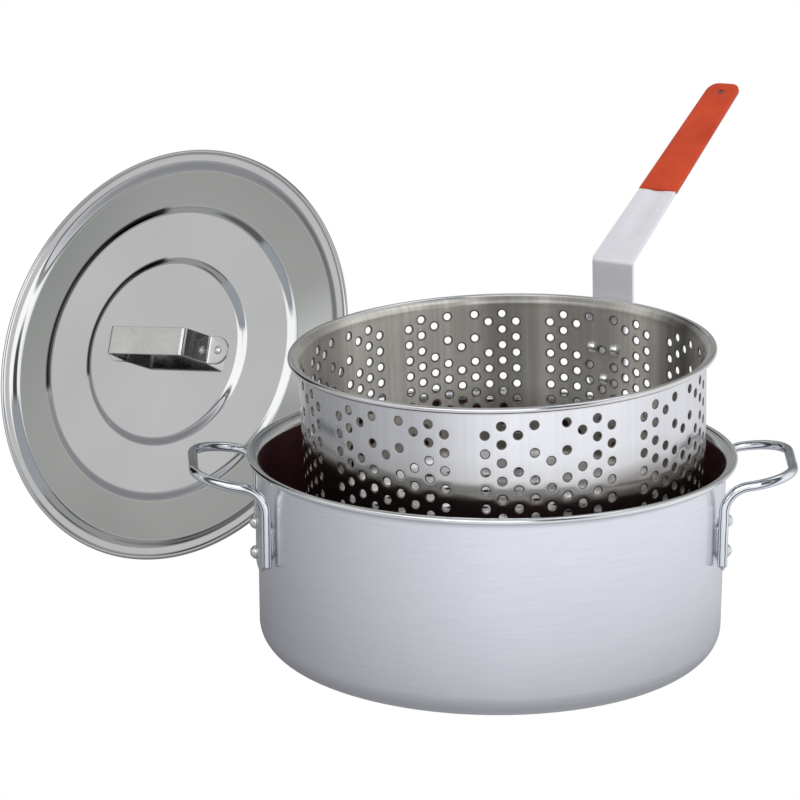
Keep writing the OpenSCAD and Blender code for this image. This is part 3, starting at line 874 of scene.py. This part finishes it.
            faces.append((low_ids[a], low_ids[b], high_ids[b], high_ids[a])[::-1])
            mat.append(1)
    piece("perforated_basket", verts, faces, BASKET, "basket", ["basket_shell"],
          [BASKET_OUT, BASKET_IN, BASKET_LIP, BASKET_BORE_SHADE], mat)


basket()


# ---------------------------------------------------------------- straps
def dense(path, step):
    """Adds points along the straight runs, no further apart than step, and close to the bends."""
    out = [path[0]]
    for a, b in zip(path, path[1:]):
        d = math.dist(a[:2], b[:2])
        if d > step and abs(a[2] - b[2]) < 1e-3:
            n = int(math.ceil(d / step))
            for k in range(1, n):
                t = k / n
                out.append((a[0] + (b[0] - a[0]) * t, a[1] + (b[1] - a[1]) * t, a[2]))
        out.append(b)
    return out


def strap_mesh(path, half_width, thick, edge, across, press=None):
    """A flat strip with rounded edges along a path of (x, z, tangent). half_width(x, z) gives its
    half width and press(x, z, y) the depth pressed into it."""
    verts, rows = [], []
    for x, z, t in path:
        h = half_width(x, z)
        nx, nz = -math.sin(t), math.cos(t)
        e = min(edge, h * 0.9)
        row = []
        top = [(-h + e + (2 * h - 2 * e) * k / across, thick / 2) for k in range(across + 1)]
        right = [(h - e + e * math.sin(math.radians(a)), (thick / 2 - e) + e * math.cos(math.radians(a)))
                 for a in (30, 60, 90)]
        right_low = [(y, -q) for y, q in right[::-1]]
        bottom = [(y, -thick / 2) for y, _ in top[::-1]]
        left = [(-y, -q) for y, q in right]
        left_up = [(-y, q) for y, q in right[::-1]]
        for y, q in top + right + right_low + bottom + left + left_up:
            off = q - (press(x, z, y) if press else 0)
            row.append(len(verts))
            verts.append((x + nx * off, y, z + nz * off))
        rows.append(row)
    faces = []
    n = len(rows[0])
    for a, b in zip(rows, rows[1:]):
        for i in range(n):
            j = (i + 1) % n
            faces.append((a[i], a[j], b[j], b[i])[::-1])
    faces.append(tuple(rows[0]))
    faces.append(tuple(rows[-1])[::-1])
    return verts, faces


STRAP = 2.5  # thickness
ARM_LEN, ARM_W0, ARM_W1, TIP_R = 195.0, 16.0, 12.25, 9.0  # half widths at the bend and the tip


def arm_half(x, grow=0.0):
    """Half width of the arm at distance x from the bend, grown by grow, with the rounded tip."""
    e, c = ARM_LEN + grow, TIP_R + grow
    w0, w1 = ARM_W0 + grow, ARM_W1 + grow
    h = w0 if x < 0 else w0 + (w1 - w0) * x / ARM_LEN
    x1 = e - c
    if x > x1:
        h1 = w0 + (w1 - w0) * x1 / ARM_LEN
        h = min(h, h1 - c + math.sqrt(max(c * c - (x - x1) ** 2, 0)))
    return h


def smooth(t):
    t = min(max(t, 0.0), 1.0)
    return t * t * (3 - 2 * t)


def flute(x, y, depth=0.9, half=8.6):
    """Depth of the flute pressed along the arm."""
    run = smooth((x - 15) / 9) * smooth((178 - x) / 8)
    w = max(0.0, 1 - (abs(y) / half) ** 2.0)
    return depth * run * (w ** 1.5)


def tip_steps(start, grow):
    """Distances along the arm, close together round the tip."""
    e, c = ARM_LEN + grow, TIP_R + grow
    n = max(2, int((e - c - start) / 3.0))
    xs = [start + (e - c - start) * k / n for k in range(n)]
    xs += [e - c + c * math.sin(math.pi / 2 * k / 12) for k in range(13)]
    return xs


def basket_strap():
    """Foot, flat on the wall below the rim, then out and up to the bend, then the arm."""
    rise = math.radians(ARM_RISE)
    x_wall = RB + 0.05 + STRAP / 2
    bend_z = DEPTH + BEND_RISE
    foot, full, shoulder, step = -72, -46, -18, -5  # heights over the basket's rim
    end = (BEND_X + 205 * math.cos(rise), BEND_RISE + 205 * math.sin(rise))
    path = [(x_wall, foot), (x_wall, shoulder), (BEND_X, step), (BEND_X, BEND_RISE), end]
    path = rounded_path(path, 4.5, 9)[:-1]
    path = dense([(x, z + DEPTH, t) for x, z, t in path], 3.0)

    def along(x, z):
        return (x - BEND_X) * math.cos(rise) + (z - bend_z) * math.sin(rise)

    # the arm goes on with a spacing of its own
    for x in tip_steps(along(*path[-1][:2]) + 0.8, 0.0):
        path.append((BEND_X + x * math.cos(rise), bend_z + x * math.sin(rise), rise))

    def half_width(x, z):
        if z - DEPTH < full and x < BEND_X - 3.8:
            return 8 + 8 * smooth(((z - DEPTH - foot) / (full - foot)) ** 0.8)
        return max(arm_half(along(x, z)), 0.4)

    def press(x, z, y):
        return flute(along(x, z), y) if along(x, z) > 10 else 0.0

    v, f = strap_mesh(path, half_width, STRAP, 0.5, 26, press)
    return piece("basket_handle_strap_bent", v, f, BASKET, "basket", ["basket_handle_strap"],
                 [STRAP_METAL])


def basket_grip():
    """The dipped end of the arm: a flat strip with well rounded edges, thin at its mouth and tip."""
    grow, mouth, thick, m, power = 0.64, 73.4, 2.05, 40, 0.42
    xs = [73.4, 73.5, 73.75, 74.2, 75.0, 76.0] + tip_steps(78, grow)
    verts, rows = [], []
    for x in xs:
        into = min(1.0, (x - mouth) / 1.2)
        over = max(0.0, (x - (ARM_LEN - 3)) / (3 + grow))
        half = max(arm_half(x, grow), 0.5) * (0.988 + 0.012 * into)
        high = thick * (0.80 + 0.20 * math.sqrt(1 - (1 - into) ** 2))
        high *= math.sqrt(max(1 - over ** 2.2, 0.05))
        row = []
        for k in range(m):
            a = 2 * math.pi * (k + 0.5) / m
            y, z = (w * math.copysign(abs(c) ** power, c)
                    for w, c in ((half, math.cos(a)), (high, math.sin(a))))
            row.append(len(verts))
            verts.append((x, y, z - flute(x, y, 0.55, 8.2)))
        rows.append(row)
    faces = []
    for a, b in zip(rows, rows[1:]):
        for i in range(m):
            j = (i + 1) % m
            faces.append((a[i], b[i], b[j], a[j])[::-1])
    faces.append(tuple(rows[0])[::-1])
    faces.append(tuple(rows[-1]))
    return piece("dipped_grip", verts, faces, ARM, "basket", ["basket_handle_grip"], [GRIP])


strap = basket_strap()
grip = basket_grip()


def drill(objects, at, radius, depth):
    """Cuts one round hole through each of the (object, its frame) pairs."""
    n = 40
    v = [(radius * math.cos(2 * math.pi * i / n), radius * math.sin(2 * math.pi * i / n), z)
         for z in (-depth, depth) for i in range(n)]
    f = [(i, (i + 1) % n, n + (i + 1) % n, n + i) for i in range(n)]
    f += [tuple(range(n))[::-1], tuple(range(n, 2 * n))]
    me = bpy.data.meshes.new("cutter")
    me.from_pydata([tuple(c * MM for c in p) for p in v], [], f)
    cut = bpy.data.objects.new("cutter", me)
    bpy.context.scene.collection.objects.link(cut)
    cut.matrix_world = at
    bpy.context.view_layer.update()
    for ob, frame_of in objects:
        mod = ob.modifiers.new("hole", "BOOLEAN")
        mod.operation, mod.solver, mod.object = "DIFFERENCE", "EXACT", cut
        dg = bpy.context.evaluated_depsgraph_get()
        new = bpy.data.meshes.new_from_object(ob.evaluated_get(dg))
        ob.modifiers.remove(mod)
        ob.data = new
        keep_own(new, frame_of)
    bpy.data.objects.remove(cut)


drill([(strap, BASKET), (grip, ARM)], ARM @ move(ARM_LEN - 11, 0, 0), 2.2, 8)

spots = [move(RB - TB - 0.8, s * RIVET_OUT, DEPTH - RIVET_HIGH) @ rot("Y", -90) for s in (-1, 1)]
rivets("basket_rivets_upper", spots, (4.5, 3.0, 3.7, 1.3, 4.62), BASKET, "basket",
       "basket_upper_rivets")
spots = [move(RB - TB - 0.15, 0, DEPTH - RIVET_LOW) @ rot("Y", -90)]
rivets("basket_rivet_lower", spots, (4.5, 3.0, 3.7, 1.3, 3.97), BASKET, "basket",
       "basket_lower_rivet")


# ---------------------------------------------------------------- lid
DISC, LID_HALF = 3.95, 0.45  # height of the disc's middle, and half the sheet
LID_TOP = DISC + LID_HALF + 0.05


def ease(a, za, b, zb, n):
    return [(a + (b - a) * i / n, za + (zb - za) * (1 - math.cos(math.pi * i / n)) / 2)
            for i in range(n + 1)]


def lid():
    """Disc, step, flat ring, step, sloping zone and raised edge, with a bead round it."""
    disc, mid, shelf, low, half, bead, edge = DISC, 0.55, -1.95, -4.9, LID_HALF, 1.6, 157.65
    line = [(0.0, disc), (20, disc), (40, disc), (60, disc), (65, disc)]
    line += ease(66, disc, 73, mid, 18)
    line += [(74, mid), (80, mid), (90, mid), (100, mid), (105.5, mid)]
    line += ease(106.5, mid, 114.5, shelf, 18)
    slope = (low - shelf) / 27.5
    line += [(r, shelf + slope * (r - 114.5)) for r in (115, 116, 122, 132, 140, 141.5)]
    line += ease(142, low, 150, 0, 20)
    line += [(151, 0), (153, 0)]
    top, under = [], []
    for i, (r, z) in enumerate(line):
        a, b = line[max(i - 1, 0)], line[min(i + 1, len(line) - 1)]
        dx, dz = b[0] - a[0], b[1] - a[1]
        k = math.hypot(dx, dz)
        nx, nz = -dz / k, dx / k
        top.append((max(r + nx * half, 0), z + nz * half))
        under.append((max(r - nx * half, 0), z - nz * half))
    top[0], under[0] = (0, disc + half), (0, disc - half)
    start = 180 - math.degrees(math.asin(half / bead))
    ring = arc(edge - bead, 0, bead, start - 6, -start + 6, 26)
    prof = top + ring + under[::-1]
    v, f, part = lathe(prof, 360)
    f = [q[::-1] for q in f]
    # the underside takes the lighter, painted-light copy of the steel
    back = [int(k >= len(top) + len(ring) - 1) for k in part]
    piece("stepped_lid", v, f, LID, "lid", ["lid_shell"], [LID_M, LID_BACK], back)


lid()


def lid_strap():
    foot, bar, end, w = LID_TOP + 0.7, 31.85, 55.0, 10.4
    pts = [(-end, foot), (-38, foot), (-33.5, bar), (33.5, bar), (38, foot), (end, foot)]
    # closer together round the two rounded ends
    xs = [end - w + w * math.sin(math.pi / 2 * k / 12) for k in range(13)]
    core = [p for p in dense(rounded_path(pts, 3.0, 9), 2.0) if abs(p[0]) < end - w - 0.2]
    path = [(-x, foot, 0.0) for x in xs[::-1]] + core + [(x, foot, 0.0) for x in xs]

    def half_width(x, z):
        d = max(abs(x) - (end - w), 0)
        return max(math.sqrt(max(w * w - d * d, 0)), 0.5)

    v, f = strap_mesh(path, half_width, 1.4, 0.4, 16)
    piece("lid_handle", v, f, LID_HANDLE, "lid", ["lid_handle_strap"], [LID_STRAP])


lid_strap()


def lid_rivets():
    top, low = LID_TOP + 1.4 + 0.02, DISC - LID_HALF
    prof = [(x, z + top + 0.25) for x, z in dome(3.2, 1.65)]
    prof += [(3.22, top + 0.12), (3.1, top), (1.8, top - 0.02), (1.8, low), (2.8, low - 0.05),
             (3.0, low - 0.25), (3.0, low - 0.75), (2.7, low - 1.0), (0, low - 1.0)]
    v, f, _ = lathe(prof[::-1], 36)
    v, f = joined([(placed(v, move(x, 0, 0)), f) for x in (-47, 47)])
    piece("lid_rivets", v, f, LID_HANDLE, "lid", ["lid_handle_rivets"], [RIVET])


lid_rivets()


# ---------------------------------------------------------------- floor, light and camera
def rise(nt, value, at, soft):
    """0 below at - soft, 1 above at + soft, smooth between."""
    n = add(nt, "ShaderNodeMapRange", interpolation_type="SMOOTHSTEP")
    n.inputs["From Min"].default_value = at - soft
    n.inputs["From Max"].default_value = at + soft
    link(nt, value, n.inputs["Value"])
    return n.outputs["Result"]


def patch(nt, az, el, box, soft):
    """1 inside a box of azimuth and elevation (az0, az1, el0, el1), soft at its edges."""
    az0, az1, el0, el1 = box
    out = None
    for v, lo, hi in ((az, az0, az1), (el, el0, el1)):
        for at, up in ((lo, True), (hi, False)):
            f = rise(nt, v, at, soft)
            if not up:
                f = minus(nt, 1.0, f)
            out = f if out is None else mul(nt, out, f)
    return out


BASE = (0.46, 0.47, 0.475)
# soft light panels: (azimuth from, to, elevation from, to), softness, colour. Azimuth 0 is the
# front and 90 is the object's right-hand side.
PANELS = [
    ((-24, 19, 7, 50), 3, (1.12, 1.13, 1.16)),
    ((-44, -24, 18, 50), 3, (1.12, 1.13, 1.16)),
    ((-56, -44, 29, 44), 4, (0.85, 0.86, 0.89)),
    ((-90, -50, 6, 44), 7, (0.36, 0.35, 0.355)),
    ((50, 150, 55, 78), 5, (0.60, 0.60, 0.62)),
    ((52, 118, -4, 40), 9, (0.40, 0.40, 0.40)),
    ((-62, 181, 52, 95), 8, (0.02, 0.05, 0.10)),
]
# dark cards: the same, and how much light is left
CARDS = [
    ((-147, -116, -6, 39), 3.5, 0.02),
    ((-120, -62, 60, 74), 4, 0.35),
    ((-50, 4, -22, 7), 4, 0.30),
    ((21, 46, 7, 50), 3, 0.20),
    ((140, 181, 10, 80), 12, 0.55),
    ((-181, -158, -2, 40), 8, 0.70),
]


def studio():
    w = bpy.data.worlds.new("studio")
    bpy.context.scene.world = w
    w.use_nodes = True
    nt = w.node_tree
    bg = nt.nodes["Background"]
    sep = add(nt, "ShaderNodeSeparateXYZ")
    link(nt, add(nt, "ShaderNodeTexCoord").outputs["Generated"], sep.inputs[0])
    x, y, z = sep.outputs
    deg = 180 / math.pi
    el = mul(nt, math_node(nt, "ARCSINE", z), deg)
    az = mul(nt, math_node(nt, "ARCTAN2", x, mul(nt, y, -1.0)), deg)
    total = BASE
    for box, soft, color in PANELS:
        total = vec_node(nt, "ADD", scaled(nt, color, patch(nt, az, el, box, soft)), total)
    for box, soft, left in CARDS:
        keep = minus(nt, 1.0, mul(nt, patch(nt, az, el, box, soft), 1 - left))
        total = scaled(nt, total, keep)
    seen = add(nt, "ShaderNodeLightPath").outputs["Is Camera Ray"]
    # as colours, this node's A, B and result are its inputs 6 and 7 and its output 2
    mix = add(nt, "ShaderNodeMix", data_type="RGBA")
    link(nt, seen, mix.inputs[0])
    link(nt, total, mix.inputs[6])
    mix.inputs[7].default_value = (1, 1, 1, 1)
    link(nt, mix.outputs[2], bg.inputs["Color"])


def floor():
    m = bpy.data.materials.new("studio_floor_glow_painted_shade")
    m.use_nodes = True
    nt = m.node_tree
    nt.nodes.clear()
    out = add(nt, "ShaderNodeOutputMaterial")
    mix = add(nt, "ShaderNodeMixShader")
    link(nt, add(nt, "ShaderNodeLightPath").outputs["Is Camera Ray"], mix.inputs[0])
    # What the metal mirrors: a glowing pale table, with painted light brightest to the front right and a
    # painted shadow next to the pot
    sep = add(nt, "ShaderNodeSeparateXYZ")
    link(nt, add(nt, "ShaderNodeTexCoord").outputs["Object"], sep.inputs[0])
    x, y, _ = sep.outputs
    r = math_node(nt, "SQRT", plus(nt, mul(nt, x, x), mul(nt, y, y)))
    r = math_node(nt, "MAXIMUM", r, 0.01)
    side = math_node(nt, "DIVIDE", plus(nt, mul(nt, x, 0.82), mul(nt, y, -0.57)), r)
    turn = math_node(nt, "MINIMUM", plus(nt, mul(nt, side, 0.36), 0.78), 1.0)
    far = math_node(nt, "MAXIMUM", minus(nt, r, 0.150), 0.0)
    # painted shadow: the glow dims next to the pot
    near, wide = (math_node(nt, "EXPONENT", mul(nt, far, -1 / k)) for k in (0.03, 0.26))
    level = minus(nt, 1.0, plus(nt, mul(nt, near, 0.17), mul(nt, wide, 0.48)))
    level = mul(nt, level, turn)
    both = add(nt, "ShaderNodeEmission")
    both.inputs["Color"].default_value = (0.96, 0.975, 1.04, 1)
    link(nt, level, both.inputs["Strength"])
    white = add(nt, "ShaderNodeEmission")
    white.inputs["Color"].default_value = (1, 1, 1, 1)
    link(nt, both.outputs[0], mix.inputs[1])
    link(nt, white.outputs[0], mix.inputs[2])
    link(nt, mix.outputs[0], out.inputs[0])
    me = bpy.data.meshes.new("studio_floor")
    s = 14.0  # half its side, in metres
    me.from_pydata([(-s, -s, 0), (s, -s, 0), (s, s, 0), (-s, s, 0)], [], [(0, 1, 2, 3)])
    me.materials.append(m)
    ob = bpy.data.objects.new("studio_floor", me)
    bpy.context.scene.collection.objects.link(ob)
    ob.location = (0, 0, -0.0004)


def softbox(name, place, target, side, power):
    """A square light that lights the object and isn't mirrored in it."""
    d = bpy.data.lights.new(name, "AREA")
    d.shape, d.size, d.size_y = "RECTANGLE", side, side
    d.energy = power
    ob = bpy.data.objects.new(name, d)
    bpy.context.scene.collection.objects.link(ob)
    ob.location = place
    ob.rotation_euler = (Vector(target) - Vector(place)).to_track_quat("-Z", "Y").to_euler()
    ob.visible_glossy = False


def camera(place, right, up, forward, lens):
    data = bpy.data.cameras.new("camera")
    data.sensor_width = 36
    data.lens = lens
    data.clip_start = 0.05
    ob = bpy.data.objects.new("camera", data)
    bpy.context.scene.collection.objects.link(ob)
    axes = (right, up, [-c for c in forward], place)
    ob.matrix_world = Matrix([[*(a[i] for a in axes)] for i in range(3)] + [[0, 0, 0, 1]])
    bpy.context.scene.camera = ob


studio()
floor()
softbox("softbox_top", (0.5, -0.5, 2.4), (0.0, 0.0, 0.1), 1.2, 30)
camera((0.0, -1.32805, 0.49798), (0.99902, 0.04414, -0.00150), (-0.00943, 0.24622, 0.96917),
       (-0.04314, 0.96821, -0.24639), 94.96)
bpy.context.scene.view_settings.view_transform = "Standard"
